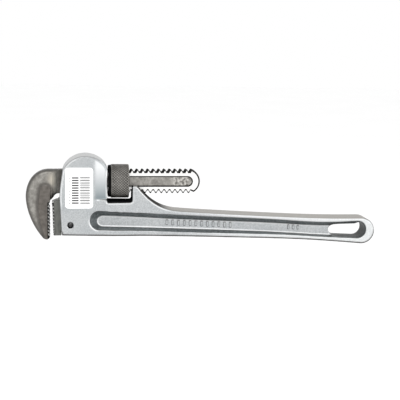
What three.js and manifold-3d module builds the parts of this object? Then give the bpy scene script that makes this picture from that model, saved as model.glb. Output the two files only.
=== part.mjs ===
// Straight aluminium pipe wrench, 14 inch (356 mm) size, in millimetres, +Z up.
// +X runs from the jaws to the hang hole, the broad sides face -Y and +Y, and the origin is
// the centre of the wrench's own box. The jaws are shown closed.
import * as THREE from 'three';
import { mergeVertices } from 'three/addons/utils/BufferGeometryUtils.js';
import Module from 'manifold-3d';

const wasm = await Module();
wasm.setup();

// ---- driving dimensions -------------------------------------------------------------------
const HALF_LENGTH = 177.8; // half of the 14 inch overall length
const HALF_HEIGHT = 45.4; // half of the box's height, housing top to handle end
const HOUSING_HALF_WIDTH = 16.5; // the jaw housing, along Y
const HANDLE_HALF_WIDTH = 12.5; // the I-beam handle, along Y
const WEB_HALF_WIDTH = 5; // the I-beam's web
const END_RADIUS = 13.4; // the handle's rounded end
const GAP = 0.3; // between pieces that touch on the real wrench

const AXIS_Z = 18.6; // axis of the nut and of the hook jaw's shank
const PITCH = 5.5; // of the shank's teeth, and the lead of the nut's right-hand thread
const CREST_X = -41.3; // where a tooth crest would cross angle 0, measured from +Y towards +Z
const CREST = 11.9; // tooth tip height above the axis
const ROOT = 9.3; // tooth root height above the axis
const SHANK_HALF_WIDTH = 5;
const SHANK_END_X = -4;
const THREAD_START_X = -104; // the shank is plain from here to the hook

const TUNNEL_CLEARANCE = 0.6; // each side of the shank
const TUNNEL_FLOOR_Z = 2; // leaves room below the shank for its spring and its rocking
const WINDOW_X = [-97.6, -72.6]; // the gap in the housing that the nut turns in
const WINDOW_FLOOR_Z = -1.3;
const SADDLE_FLOOR_Z = 4.8; // between the two cheeks of the post behind the nut

const NUT_X = [-96.6, -75.8];
const NUT_RADIUS = 16.9;
const NUT_COLLAR_RADIUS = 16.1;
const NUT_COLLAR_LENGTH = 2.7;
const THREAD_PLAY = 0.1; // axial clearance of the nut's thread, as a share of the pitch
const THREAD_INNER = 10.95; // nut thread's tip radius, clear of the rack's roots
const THREAD_OUTER = 13.4; // nut thread's root radius, clear of the rack's corners

const JAW_HALF_WIDTH = 8.5;
const HOOK_HALF_WIDTH = 7.6; // the forged hook behind its toothed pad
const HOOK_FACE_X = -154; // tips of the hook jaw's teeth
const JAW_TOOTH_PITCH = 3.53;
const JAW_TOOTH_DEPTH = 2;

const HEEL_TOP_Z = 1.2;
const HEEL_BOTTOM_Z = -35.3;
const HEEL_SHOULDER_X = [-142.7, -144.9]; // bottom and top of the exposed head's back
const HEEL_BACK_X = -126; // end of the tenon inside the housing
const HEEL_TENON_BOTTOM_Z = -30;
const PIN = { x: -133.9, z: -23.8, radius: 2.6, halfLength: 13, wall: 0.8, slot: 1 };
const PIN_BORE_RADIUS = 2.9;

const STRIP_THICKNESS = 1.2; // the flat spring under the shank
const STRIP_X = [-141.5, -99.2];
const COIL = { x: -116, radius: 3.4, wire: 1.2, turns: 5.5, bottomZ: -9.5 };
const COIL_POCKET = { radius: 4.6, floorZ: -9.9 };

// ---- from three.js geometry to solids and back --------------------------------------------
function solid(geometry) {
  const bare = geometry.index ? geometry : geometry.clone();
  bare.deleteAttribute('normal');
  bare.deleteAttribute('uv');
  const merged = mergeVertices(bare, 1e-5);
  return new wasm.Manifold(new wasm.Mesh({
    numProp: 3,
    vertProperties: new Float32Array(merged.attributes.position.array),
    triVerts: new Uint32Array(merged.index.array),
  }));
}

function toGeometry(body) {
  const mesh = body.getMesh();
  const geometry = new THREE.BufferGeometry();
  geometry.setAttribute('position', new THREE.BufferAttribute(mesh.vertProperties, mesh.numProp));
  geometry.setIndex(new THREE.BufferAttribute(mesh.triVerts, 1));
  geometry.computeVertexNormals();
  return geometry;
}

// A Shape drawn as (X, Z), given thickness from y0 to y1.
function sidePlate(shape, y0, y1, curveSegments = 8) {
  const geometry = new THREE.ExtrudeGeometry(shape, { depth: y1 - y0, bevelEnabled: false, curveSegments });
  geometry.rotateX(Math.PI / 2);
  geometry.translate(0, y1, 0);
  return solid(geometry);
}

// A Shape drawn as (X, Y), given height from z0 to z1.
function planPlate(shape, z0, z1, curveSegments = 8) {
  const geometry = new THREE.ExtrudeGeometry(shape, { depth: z1 - z0, bevelEnabled: false, curveSegments });
  geometry.translate(0, 0, z0);
  return solid(geometry);
}

function box([x0, x1], [y0, y1], [z0, z1]) {
  const geometry = new THREE.BoxGeometry(x1 - x0, y1 - y0, z1 - z0);
  geometry.translate((x0 + x1) / 2, (y0 + y1) / 2, (z0 + z1) / 2);
  return solid(geometry);
}

// A round bar along Y.
function crossBar(x, z, radius, halfLength, segments = 24) {
  const geometry = new THREE.CylinderGeometry(radius, radius, 2 * halfLength, segments);
  geometry.translate(x, 0, z);
  return solid(geometry);
}

// A solid turned about the shank's axis, from a profile of (radius, X) points.
function turned(profile, segments) {
  const geometry = new THREE.LatheGeometry(profile.map(([r, x]) => new THREE.Vector2(r, x)), segments);
  geometry.rotateZ(-Math.PI / 2);
  geometry.translate(0, 0, AXIS_Z);
  return solid(geometry);
}

function both(makeSide) {
  return makeSide(-1).add(makeSide(1));
}

// ---- handle and housing, one casting ------------------------------------------------------
function castingOutline() {
  const outline = new THREE.Shape();
  outline.moveTo(-142.3, -34);
  outline.splineThru([
    new THREE.Vector2(-60, -35.7),
    new THREE.Vector2(20, -37.7),
    new THREE.Vector2(100, -40.5),
    new THREE.Vector2(161.5, -45.1),
  ]);
  const endX = HALF_LENGTH - END_RADIUS;
  outline.absarc(endX, END_RADIUS - HALF_HEIGHT, END_RADIUS, -Math.PI / 2, Math.PI / 2, false);
  outline.splineThru([
    new THREE.Vector2(120, -18.2),
    new THREE.Vector2(60, -15.6),
    new THREE.Vector2(-4, -12),
    new THREE.Vector2(-27, -10.3),
  ]);
  outline.bezierCurveTo(-44, -8.7, -54.6, -1.1, -66.4, 13.7); // sweeps up to the post
  outline.quadraticCurveTo(-67.4, 14.9, -69.5, 14.9);
  outline.lineTo(WINDOW_X[1], 14.9);
  outline.lineTo(WINDOW_X[1], WINDOW_FLOOR_Z + 2.5);
  outline.quadraticCurveTo(WINDOW_X[1], WINDOW_FLOOR_Z, WINDOW_X[1] - 2.5, WINDOW_FLOOR_Z);
  outline.lineTo(WINDOW_X[0] + 1.5, WINDOW_FLOOR_Z);
  outline.quadraticCurveTo(WINDOW_X[0], WINDOW_FLOOR_Z, WINDOW_X[0], WINDOW_FLOOR_Z + 1.5);
  outline.lineTo(-97.1, 28.5);
  outline.bezierCurveTo(-96.9, 38.5, -108.3, HALF_HEIGHT, -119.3, HALF_HEIGHT);
  outline.bezierCurveTo(-130.3, HALF_HEIGHT, -140.8, 37, -141.8, 28.5);
  outline.bezierCurveTo(-143, 20, -144.6, 12, -144.5, 3);
  outline.closePath();
  return outline;
}

// Seen from above: the wide housing narrows smoothly into the handle.
function castingPlan() {
  const start = -104;
  const end = -46;
  const plan = new THREE.Shape();
  const reach = HALF_LENGTH + 2;
  plan.moveTo(-reach, -HOUSING_HALF_WIDTH);
  plan.lineTo(start, -HOUSING_HALF_WIDTH);
  plan.bezierCurveTo(-80, -HOUSING_HALF_WIDTH, -70, -HANDLE_HALF_WIDTH, end, -HANDLE_HALF_WIDTH);
  plan.lineTo(reach, -HANDLE_HALF_WIDTH);
  plan.lineTo(reach, HANDLE_HALF_WIDTH);
  plan.lineTo(end, HANDLE_HALF_WIDTH);
  plan.bezierCurveTo(-70, HANDLE_HALF_WIDTH, -80, HOUSING_HALF_WIDTH, start, HOUSING_HALF_WIDTH);
  plan.lineTo(-reach, HOUSING_HALF_WIDTH);
  plan.closePath();
  return plan;
}

// The long pocket on each side that leaves an I-beam, as wide as it is at the surface.
function pocketOutline() {
  const outline = new THREE.Shape();
  outline.moveTo(-105.3, -10.1);
  outline.absarc(-105.3, -19.4, 9.3, Math.PI / 2, 1.5 * Math.PI, false);
  outline.splineThru([
    new THREE.Vector2(-20, -32),
    new THREE.Vector2(60, -34.4),
    new THREE.Vector2(120, -37.6),
    new THREE.Vector2(160, -39.7),
  ]);
  outline.absarc(160, -30.6, 9.1, -Math.PI / 2, Math.PI / 2, false);
  outline.splineThru([
    new THREE.Vector2(120, -22.5),
    new THREE.Vector2(60, -18.8),
    new THREE.Vector2(-20, -14.8),
    new THREE.Vector2(-105.3, -10.1),
  ]);
  return outline;
}

// The pocket's walls slope in towards the web, which the extrusion's bevel makes.
function pocket(side) {
  const wallDepth = HANDLE_HALF_WIDTH - WEB_HALF_WIDTH;
  const slope = 3.9;
  const geometry = new THREE.ExtrudeGeometry(pocketOutline(), {
    depth: 8,
    bevelThickness: wallDepth,
    bevelSize: slope,
    bevelOffset: -slope,
    bevelSegments: 1,
    curveSegments: 6,
  });
  geometry.rotateX(Math.PI / 2); // its bevelled start now faces +Y, towards the web
  geometry.translate(0, -HANDLE_HALF_WIDTH, 0);
  const front = solid(geometry);
  return side < 0 ? front : front.mirror([0, 1, 0]);
}

function hangHole() {
  const hole = new THREE.Shape();
  hole.moveTo(140, -25.8);
  hole.quadraticCurveTo(131, -26.2, 130.6, -31.2);
  hole.quadraticCurveTo(131, -37.2, 140, -37.8);
  hole.lineTo(159, -38.9);
  hole.absarc(160, -30.6, 8.4, -Math.PI / 2, Math.PI / 2.6, false);
  hole.lineTo(158, -25.4);
  hole.closePath();
  return sidePlate(hole, -WEB_HALF_WIDTH - 6, WEB_HALF_WIDTH + 6, 6);
}

// The housing's broad faces slope away beside the window, down to a small ledge.
function facet(side) {
  const wedge = new THREE.Shape();
  wedge.moveTo(-111, side * HOUSING_HALF_WIDTH);
  wedge.lineTo(-95, side * (HOUSING_HALF_WIDTH - 4.6));
  wedge.lineTo(-95, side * (HOUSING_HALF_WIDTH + 1));
  wedge.lineTo(-111, side * (HOUSING_HALF_WIDTH + 1));
  wedge.closePath();
  return planPlate(wedge, 1.7, HALF_HEIGHT + 1);
}

function casting() {
  const width = HOUSING_HALF_WIDTH + 1;
  const shaft = SHANK_HALF_WIDTH + TUNNEL_CLEARANCE;
  const jawSlot = JAW_HALF_WIDTH + GAP;
  const tunnelRoof = AXIS_Z + CREST + GAP;
  let body = sidePlate(castingOutline(), -width, width, 10);
  body = body.intersect(planPlate(castingPlan(), -HALF_HEIGHT - 2, HALF_HEIGHT + 2, 10));
  body = body.subtract(both(pocket));
  body = body.subtract(hangHole());
  body = body.subtract(both(facet));
  body = body.subtract(box([-150, WINDOW_X[0] + 1], [-shaft, shaft], [TUNNEL_FLOOR_Z, tunnelRoof]));
  body = body.subtract(box([WINDOW_X[1] - 1, -50], [-shaft, shaft], [SADDLE_FLOOR_Z, tunnelRoof]));
  body = body.subtract(box(
    [-150, HEEL_BACK_X + GAP],
    [-jawSlot, jawSlot],
    [HEEL_TENON_BOTTOM_Z - GAP, HEEL_TOP_Z + GAP],
  ));
  body = body.subtract(box([-150, HEEL_BACK_X + GAP], [-shaft, shaft], [0, TUNNEL_FLOOR_Z + 1]));
  body = body.subtract(crossBar(PIN.x, PIN.z, PIN_BORE_RADIUS, width));
  body = body.subtract(springPockets());
  return body;
}

// A round pocket for the coil spring and a slot for the flat spring's turned-down end.
function springPockets() {
  const depth = TUNNEL_FLOOR_Z - COIL_POCKET.floorZ + 1;
  const round = new THREE.CylinderGeometry(COIL_POCKET.radius, COIL_POCKET.radius, depth, 20);
  round.rotateX(Math.PI / 2);
  round.translate(COIL.x, 0, COIL_POCKET.floorZ + depth / 2);
  const slotZ = [-3.6, TUNNEL_FLOOR_Z + 1];
  const slot = box([STRIP_X[1] - 2.4, STRIP_X[1] + 1], [-SHANK_HALF_WIDTH, SHANK_HALF_WIDTH], slotZ);
  return solid(round).add(slot);
}

// ---- hook jaw: head, toothed pad and racked shank, one forging --------------------------------
// One edge's row of teeth as [x, height] pairs along the shank.
function rackProfile(firstCrest, side, fromX, toX) {
  const crestHalf = 0.11 * PITCH;
  const flankEnd = 0.36 * PITCH;
  const points = [];
  const first = Math.ceil((fromX - firstCrest) / PITCH);
  const last = Math.floor((toX - firstCrest) / PITCH);
  for (let i = first; i <= last; i += 1) {
    const x = firstCrest + i * PITCH;
    points.push([x - flankEnd, side * ROOT]);
    points.push([x - crestHalf, side * CREST]);
    points.push([x + crestHalf, side * CREST]);
    points.push([x + flankEnd, side * ROOT]);
  }
  return points;
}

// The helix crosses the top of the shank at a quarter turn and the bottom at three quarters.
function shank() {
  const headX = -152;
  const endRadius = 12.6;
  const endCentreX = SHANK_END_X - endRadius;
  const lastToothX = endCentreX + 4;
  const top = rackProfile(CREST_X + PITCH / 4, 1, THREAD_START_X, lastToothX);
  const bottom = rackProfile(CREST_X + 0.75 * PITCH, -1, THREAD_START_X, lastToothX);
  const cornerAngle = Math.asin(10.9 / endRadius);
  const outline = new THREE.Shape();
  outline.moveTo(headX, -CREST);
  outline.lineTo(THREAD_START_X, -CREST);
  bottom.forEach(([x, z]) => outline.lineTo(x, z));
  outline.absarc(endCentreX, 0, endRadius, -cornerAngle, cornerAngle, false);
  top.reverse().forEach(([x, z]) => outline.lineTo(x, z));
  outline.lineTo(THREAD_START_X, CREST);
  outline.lineTo(headX, CREST);
  outline.closePath();
  const geometry = new THREE.ExtrudeGeometry(outline, {
    depth: 2 * SHANK_HALF_WIDTH,
    bevelEnabled: false,
    curveSegments: 14,
  });
  geometry.rotateX(Math.PI / 2);
  geometry.translate(0, SHANK_HALF_WIDTH, 0);
  leanTeeth(geometry);
  geometry.translate(0, 0, AXIS_Z);
  const recess = new THREE.Shape();
  const recessHalf = 5.4;
  recess.moveTo(-112, AXIS_Z - recessHalf);
  recess.lineTo(endCentreX, AXIS_Z - recessHalf);
  recess.absarc(endCentreX, AXIS_Z, recessHalf, -Math.PI / 2, Math.PI / 2, false);
  recess.lineTo(-112, AXIS_Z + recessHalf);
  recess.closePath();
  const recessDepth = 1.5;
  const outside = SHANK_HALF_WIDTH + 1;
  const inside = SHANK_HALF_WIDTH - recessDepth;
  const recesses = sidePlate(recess, -outside, -inside).add(sidePlate(recess, inside, outside));
  return solid(geometry).subtract(recesses);
}

// The rack's teeth follow the nut's right-hand helix across the shank's thickness.
function leanTeeth(geometry) {
  const lean = PITCH / (2 * Math.PI * CREST);
  const position = geometry.attributes.position;
  for (let i = 0; i < position.count; i += 1) {
    const x = position.getX(i);
    const z = position.getZ(i);
    if (x > THREAD_START_X && x < SHANK_END_X - 8 && Math.abs(z) > ROOT - 0.1) {
      position.setX(i, x - lean * position.getY(i) * Math.sign(z));
    }
  }
}

function hookOutline() {
  const outline = new THREE.Shape();
  const top = AXIS_Z + CREST;
  outline.moveTo(-144.4, top);
  outline.lineTo(-155, top);
  outline.bezierCurveTo(-168, top, -HALF_LENGTH, 19, -HALF_LENGTH, 3.5);
  outline.bezierCurveTo(-HALF_LENGTH, -9.5, -171.3, -26, -162.5, -36.8);
  outline.bezierCurveTo(-160.3, -39.6, -156.4, -41, HOOK_FACE_X - 1.6, -37.6);
  outline.lineTo(HOOK_FACE_X - 1.6, -2.2);
  outline.quadraticCurveTo(-153, -0.4, -150.3, 3.2); // the throat
  outline.bezierCurveTo(-149.6, 8, -146.4, 20, -144.4, top);
  return outline;
}

// The thicker block that carries the teeth.
function padOutline() {
  const outline = new THREE.Shape();
  outline.moveTo(HOOK_FACE_X, -1.9);
  outline.quadraticCurveTo(-153.4, 6, -153.2, 9.6);
  outline.absarc(-158.6, 10.2, 5.6, 0, Math.PI, false);
  outline.quadraticCurveTo(-165.9, 0, -166.4, -5);
  outline.quadraticCurveTo(-166.2, -18, -162.2, -28.5);
  outline.lineTo(-158, -37.2);
  outline.lineTo(HOOK_FACE_X - 1, -37);
  toothPoints(HOOK_FACE_X, -36.2, -1.9, -1, HOOK_FACE_X).forEach(([x, z]) => outline.lineTo(x, z));
  outline.closePath();
  return outline;
}

// A row of raked teeth up a jaw's face, as [x, z] pairs, cut towards the side of the jaw's body.
// The hook's teeth point down and the heel's teeth point up.
function toothPoints(tipX, fromZ, toZ, bodySide, tipXAtTop) {
  const flat = 0.5;
  const rake = 2.2;
  const count = Math.floor((toZ - fromZ) / JAW_TOOTH_PITCH);
  const points = [];
  for (let i = 0; i < count; i += 1) {
    const x = THREE.MathUtils.lerp(tipX, tipXAtTop, i / count);
    const z = fromZ + i * JAW_TOOTH_PITCH;
    const valley = x + bodySide * JAW_TOOTH_DEPTH;
    if (bodySide < 0) {
      points.push([x, z], [x, z + flat], [valley, z + flat + rake]);
      points.push([valley, z + JAW_TOOTH_PITCH - 0.4]);
    } else {
      points.push([valley, z], [valley, z + 0.4]);
      points.push([x, z + 0.4 + rake], [x, z + 0.4 + rake + flat]);
    }
  }
  return points;
}

function hookJaw() {
  const rounding = 2;
  const head = new THREE.ExtrudeGeometry(hookOutline(), {
    depth: 2 * (HOOK_HALF_WIDTH - rounding),
    bevelThickness: rounding,
    bevelSize: rounding,
    bevelOffset: -rounding,
    bevelSegments: 2,
    curveSegments: 8,
  });
  head.rotateX(Math.PI / 2);
  head.translate(0, HOOK_HALF_WIDTH - rounding, 0);
  const pad = sidePlate(padOutline(), -JAW_HALF_WIDTH, JAW_HALF_WIDTH, 6);
  return solid(head).add(pad).add(shank());
}

// ---- adjusting nut ---------------------------------------------------------------------------
// The rod that the nut's thread leaves open: a helical groove whose form repeats every pitch.
function threadCore(fromX, toX) {
  const ringsPerPitch = 8;
  const rings = Math.round(((toX - fromX) / PITCH) * ringsPerPitch);
  const geometry = new THREE.CylinderGeometry(1, 1, toX - fromX, 32, rings);
  geometry.rotateZ(-Math.PI / 2);
  geometry.translate((fromX + toX) / 2, 0, 0);
  const position = geometry.attributes.position;
  const crestHalf = 0.11 + THREAD_PLAY;
  const flankEnd = 0.36 + THREAD_PLAY;
  for (let i = 0; i < position.count; i += 1) {
    const x = position.getX(i);
    const y = position.getY(i);
    const z = position.getZ(i);
    const turn = Math.atan2(z, y) / (2 * Math.PI);
    const phase = (x - CREST_X) / PITCH - turn;
    const fromCrest = Math.abs(phase - Math.round(phase));
    const fall = THREE.MathUtils.clamp((fromCrest - crestHalf) / (flankEnd - crestHalf), 0, 1);
    const radius = THREE.MathUtils.lerp(THREAD_OUTER, THREAD_INNER, fall);
    position.setXYZ(i, x, y * radius, z * radius);
  }
  geometry.translate(0, 0, AXIS_Z);
  return solid(geometry);
}

function nut() {
  const [left, right] = NUT_X;
  const chamfer = 0.6;
  const body = turned([
    [0, left],
    [NUT_COLLAR_RADIUS - chamfer, left],
    [NUT_COLLAR_RADIUS, left + chamfer],
    [NUT_COLLAR_RADIUS, left + NUT_COLLAR_LENGTH],
    [NUT_RADIUS, left + NUT_COLLAR_LENGTH + 0.5],
    [NUT_RADIUS, right - chamfer],
    [NUT_RADIUS - chamfer, right],
    [0, right],
  ], 40);
  return body.subtract(threadCore(left - 2, right + 2));
}

// ---- heel jaw and its roll pin -------------------------------------------------------------------
function heelJaw() {
  const head = new THREE.Shape();
  const tipXAtTop = -152.2;
  const tipXAtBottom = -151.2;
  head.moveTo(HEEL_SHOULDER_X[0], HEEL_BOTTOM_Z);
  head.lineTo(HEEL_SHOULDER_X[1], HEEL_TOP_Z);
  head.lineTo(-148.4, 0.9);
  head.lineTo(tipXAtTop + 0.6, -1);
  const teeth = toothPoints(tipXAtBottom, HEEL_BOTTOM_Z + 0.6, -1, 1, tipXAtTop);
  teeth.reverse().forEach(([x, z]) => head.lineTo(x, z));
  head.closePath();
  const tenon = box(
    [HEEL_SHOULDER_X[1] - 1, HEEL_BACK_X],
    [-JAW_HALF_WIDTH, JAW_HALF_WIDTH],
    [HEEL_TENON_BOTTOM_Z, HEEL_TOP_Z],
  );
  const body = sidePlate(head, -JAW_HALF_WIDTH, JAW_HALF_WIDTH).add(tenon);
  return body.subtract(crossBar(PIN.x, PIN.z, PIN_BORE_RADIUS, JAW_HALF_WIDTH + 1));
}

function rollPin() {
  const shell = crossBar(PIN.x, PIN.z, PIN.radius, PIN.halfLength, 20);
  const bore = crossBar(PIN.x, PIN.z, PIN.radius - PIN.wall, PIN.halfLength + 1, 20);
  const length = PIN.halfLength + 1;
  const slit = box([PIN.x - PIN.slot / 2, PIN.x + PIN.slot / 2], [-length, length], [PIN.z, PIN.z + 4]);
  return shell.subtract(bore).subtract(slit);
}

// ---- springs inside the housing -----------------------------------------------------------------
// A leaf that lies under the shank, with its rear end turned down into a slot.
function flatSpring() {
  const top = AXIS_Z - CREST - GAP;
  const [left, right] = STRIP_X;
  const strip = new THREE.Shape();
  strip.moveTo(left, top - STRIP_THICKNESS);
  strip.lineTo(right - STRIP_THICKNESS - 1, top - STRIP_THICKNESS);
  strip.quadraticCurveTo(right - STRIP_THICKNESS, top - STRIP_THICKNESS, right - STRIP_THICKNESS, 3);
  strip.lineTo(right - STRIP_THICKNESS, -2);
  strip.lineTo(right, -2);
  strip.lineTo(right, 4);
  strip.quadraticCurveTo(right, top, right - 3, top);
  strip.lineTo(left, top);
  strip.closePath();
  const half = SHANK_HALF_WIDTH - 0.6;
  return sidePlate(strip, -half, half, 4);
}

function coilSpring() {
  const topZ = AXIS_Z - CREST - GAP - STRIP_THICKNESS - GAP;
  const wireRadius = COIL.wire / 2;
  const rise = topZ - COIL.bottomZ - COIL.wire;
  const stepsPerTurn = 14;
  const points = [];
  const steps = Math.round(COIL.turns * stepsPerTurn);
  for (let i = 0; i <= steps; i += 1) {
    const angle = (2 * Math.PI * i) / stepsPerTurn;
    points.push(new THREE.Vector3(
      COIL.x + COIL.radius * Math.cos(angle),
      COIL.radius * Math.sin(angle),
      COIL.bottomZ + wireRadius + (rise * i) / steps,
    ));
  }
  const section = new THREE.Shape();
  section.absarc(0, 0, wireRadius, 0, 2 * Math.PI, false);
  const geometry = new THREE.ExtrudeGeometry(section, {
    steps,
    extrudePath: new THREE.CatmullRomCurve3(points),
    curveSegments: 6,
  });
  return solid(geometry);
}

// ---- the price label stuck on the housing's front -----------------------------------------------
function label() {
  const [left, right] = [-139, -111.6];
  const [bottom, top] = [-6.7, 33.9];
  const corner = 3;
  const outline = new THREE.Shape();
  outline.moveTo(left + corner, bottom);
  outline.lineTo(right - corner, bottom);
  outline.quadraticCurveTo(right, bottom, right, bottom + corner);
  outline.lineTo(right, top - corner);
  outline.quadraticCurveTo(right, top, right - corner, top);
  outline.lineTo(left + corner, top);
  outline.quadraticCurveTo(left, top, left, top - corner);
  outline.lineTo(left, bottom + corner);
  outline.quadraticCurveTo(left, bottom, left + corner, bottom);
  const face = -HOUSING_HALF_WIDTH;
  return sidePlate(outline, face - 0.3, face - 0.1, 4);
}

// ---- the assembly -------------------------------------------------------------------------------
const finishes = {
  castAluminium: { color: 0xb9bec0, roughness: 0.45, metalness: 1 },
  forgedSteel: { color: 0x8b8680, roughness: 0.5, metalness: 0.9 },
  hardenedSteel: { color: 0x65645f, roughness: 0.55, metalness: 0.9 },
  blackenedSteel: { color: 0x4d4b48, roughness: 0.5, metalness: 0.9 },
  springSteel: { color: 0x55575a, roughness: 0.4, metalness: 1 },
  paper: { color: 0xf4f4f2, roughness: 0.8, metalness: 0 },
};

function part(name, body, finish) {
  const mesh = new THREE.Mesh(toGeometry(body), new THREE.MeshStandardMaterial(finishes[finish]));
  mesh.name = name;
  return mesh;
}

const wrench = new THREE.Group();
wrench.add(
  part('handle_housing', casting(), 'castAluminium'),
  part('hook_jaw', hookJaw(), 'forgedSteel'),
  part('adjusting_nut', nut(), 'blackenedSteel'),
  part('heel_jaw', heelJaw(), 'hardenedSteel'),
  part('heel_jaw_pin', rollPin(), 'springSteel'),
  part('flat_spring', flatSpring(), 'springSteel'),
  part('coil_spring', coilSpring(), 'springSteel'),
  part('price_label', label(), 'paper'),
);

export default wrench;
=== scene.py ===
import math

import bmesh
import bpy
import numpy as np
from mathutils import Matrix, Vector
from mathutils.geometry import tessellate_polygon


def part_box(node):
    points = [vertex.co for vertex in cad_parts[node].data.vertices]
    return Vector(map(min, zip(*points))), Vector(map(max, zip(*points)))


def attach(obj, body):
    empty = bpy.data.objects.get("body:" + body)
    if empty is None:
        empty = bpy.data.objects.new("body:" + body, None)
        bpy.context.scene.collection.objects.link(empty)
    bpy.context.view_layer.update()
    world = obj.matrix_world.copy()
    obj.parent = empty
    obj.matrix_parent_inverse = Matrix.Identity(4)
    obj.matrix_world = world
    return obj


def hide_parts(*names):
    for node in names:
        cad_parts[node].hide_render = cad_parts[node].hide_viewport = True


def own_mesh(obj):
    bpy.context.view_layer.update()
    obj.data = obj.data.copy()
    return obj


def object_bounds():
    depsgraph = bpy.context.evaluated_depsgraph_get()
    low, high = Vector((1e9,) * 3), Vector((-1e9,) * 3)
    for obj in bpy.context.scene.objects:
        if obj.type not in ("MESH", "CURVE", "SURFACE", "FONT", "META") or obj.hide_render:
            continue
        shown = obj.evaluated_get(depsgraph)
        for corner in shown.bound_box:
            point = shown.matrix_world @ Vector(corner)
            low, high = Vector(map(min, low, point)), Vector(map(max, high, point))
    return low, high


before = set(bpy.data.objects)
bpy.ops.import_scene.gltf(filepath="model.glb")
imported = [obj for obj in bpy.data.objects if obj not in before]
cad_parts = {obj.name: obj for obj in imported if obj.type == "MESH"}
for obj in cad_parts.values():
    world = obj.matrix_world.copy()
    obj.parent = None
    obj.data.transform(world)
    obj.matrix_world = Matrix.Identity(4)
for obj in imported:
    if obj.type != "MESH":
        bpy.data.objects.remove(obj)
CAD_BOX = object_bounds()
MM = 0.001  # every shape below is written in millimetres

# ---- sizes shared with the frame ----
AXIS_Z = 18.6  # axis of the nut and the shank
PITCH = 5.5  # of the thread
CREST_X = -41.3  # where one crest of the thread stands
CREST = 11.9  # the shank's crests, from its axis
ROOT = 9.3  # and its valleys
HOUSING_HALF = 16.5
HANDLE_HALF = 12.5
WEB_HALF = 5.0
WINDOW = (-97.6, -72.6)  # the nut's window, along the wrench
WINDOW_FLOOR = -1.3
HALF_HEIGHT = 45.4
SHANK_HALF = 5.0
SHAFT_HALF = SHANK_HALF + 0.6
TUNNEL_FLOOR = 2.0
TUNNEL_ROOF = AXIS_Z + CREST + 0.7  # room for the rounding of its corners
HOOK_FACE = -154.0
JAW_HALF = 8.5
HOOK_HALF = 7.6
TOOTH_PITCH = 3.53
TOOTH_DEPTH = 2.0
PIN = (-133.9, -23.8)
PIN_BORE = 2.9
HEEL_SLOT_END = -125.7  # the heel jaw's slot, inside the housing
COIL_X = -116.0
WELL_RADIUS = 4.6  # the coil spring's well
WELL_MIDDLE = -3.45
WELL_REACH = 6.45
HANG_HOLE_REACH = 11.0  # to each side, well past the web
CASTING_CELL = 0.8  # grid spacing of the sculpted bodies
STEEL_CELL = 0.4
GRID_MARGIN = 2.37  # in cells, and not a whole number, so that few flat faces lie on grid points
FAR = 1e9
SHORT = 1e-12  # edges with a squared length under this are skipped
NEAR_ZERO = 1e-6


# ---- curves in the side view, as lists of (x, z) ----
def bezier(a, b, c, d, count=14):
    points = []
    for i in range(1, count + 1):
        t = i / count
        s = 1 - t
        weights = (s**3, 3 * s * s * t, 3 * s * t * t, t**3)
        x = sum(w * p[0] for w, p in zip(weights, (a, b, c, d)))
        z = sum(w * p[1] for w, p in zip(weights, (a, b, c, d)))
        points.append((x, z))
    return points


def quadratic(a, b, c, count=6):
    def between(p, q):
        return (p[0] + (q[0] - p[0]) * 2 / 3, p[1] + (q[1] - p[1]) * 2 / 3)

    return bezier(a, between(a, b), between(c, b), c, count)


def arc(centre, radius, start, end, count=20):
    angles = np.linspace(start, end, count + 1)
    return [(centre[0] + radius * math.cos(a), centre[1] + radius * math.sin(a)) for a in angles]


def spline(knots, per=8):
    """A smooth curve through the knots, without the first one."""
    points = []
    for i in range(len(knots) - 1):
        p0 = knots[max(i - 1, 0)]
        p1 = knots[i]
        p2 = knots[i + 1]
        p3 = knots[min(i + 2, len(knots) - 1)]
        for j in range(1, per + 1):
            t = j / per
            point = []
            for k in range(2):
                v0 = (p2[k] - p0[k]) / 2
                v1 = (p3[k] - p1[k]) / 2
                cubic = (2 * p1[k] - 2 * p2[k] + v0 + v1) * t**3
                square = (-3 * p1[k] + 3 * p2[k] - 2 * v0 - v1) * t * t
                point.append(cubic + square + v0 * t + p1[k])
            points.append(tuple(point))
    return points


# ---- signed distance fields, negative inside ----
def point_field(points, x, z):
    """Signed distance to a closed outline in the side view, at each x and z."""
    nearest = np.full(np.broadcast(x, z).shape, FAR)
    inside = np.zeros(nearest.shape, bool)
    for i, (ax, az) in enumerate(points):
        bx, bz = points[(i + 1) % len(points)]
        ex = bx - ax
        ez = bz - az
        length = ex * ex + ez * ez
        if length < SHORT:
            continue
        along = np.clip(((x - ax) * ex + (z - az) * ez) / length, 0, 1)
        nearest = np.minimum(nearest, (x - ax - ex * along) ** 2 + (z - az - ez * along) ** 2)
        if az != bz:
            inside ^= ((az <= z) != (bz <= z)) & (x < ax + (z - az) / (bz - az) * ex)
    distance = np.sqrt(nearest)
    return np.where(inside, -distance, distance)


def polygon_field(points, x, z):
    """The same over a grid, where it doesn't change along Y."""
    return point_field(points, x.reshape(-1, 1), z.reshape(1, -1))[:, None, :]


def box_field(x, y, z, xs, ys, zs):
    sides = []
    for value, (low, high) in ((x, xs), (y, ys), (z, zs)):
        sides.append(np.maximum(low - value, value - high))
    return np.maximum(np.maximum(sides[0], sides[1]), sides[2])


def both(a, b, radius):
    """Where two bodies overlap, with the edge between them rounded."""
    corner = np.hypot(np.maximum(a + radius, 0), np.maximum(b + radius, 0))
    return np.minimum(np.maximum(a, b), -radius) + corner


def either(a, b, radius):
    """Two bodies joined, with a fillet between them."""
    return -both(-a, -b, radius)


def cut(body, tool, radius):
    return both(body, -tool, radius)


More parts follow.
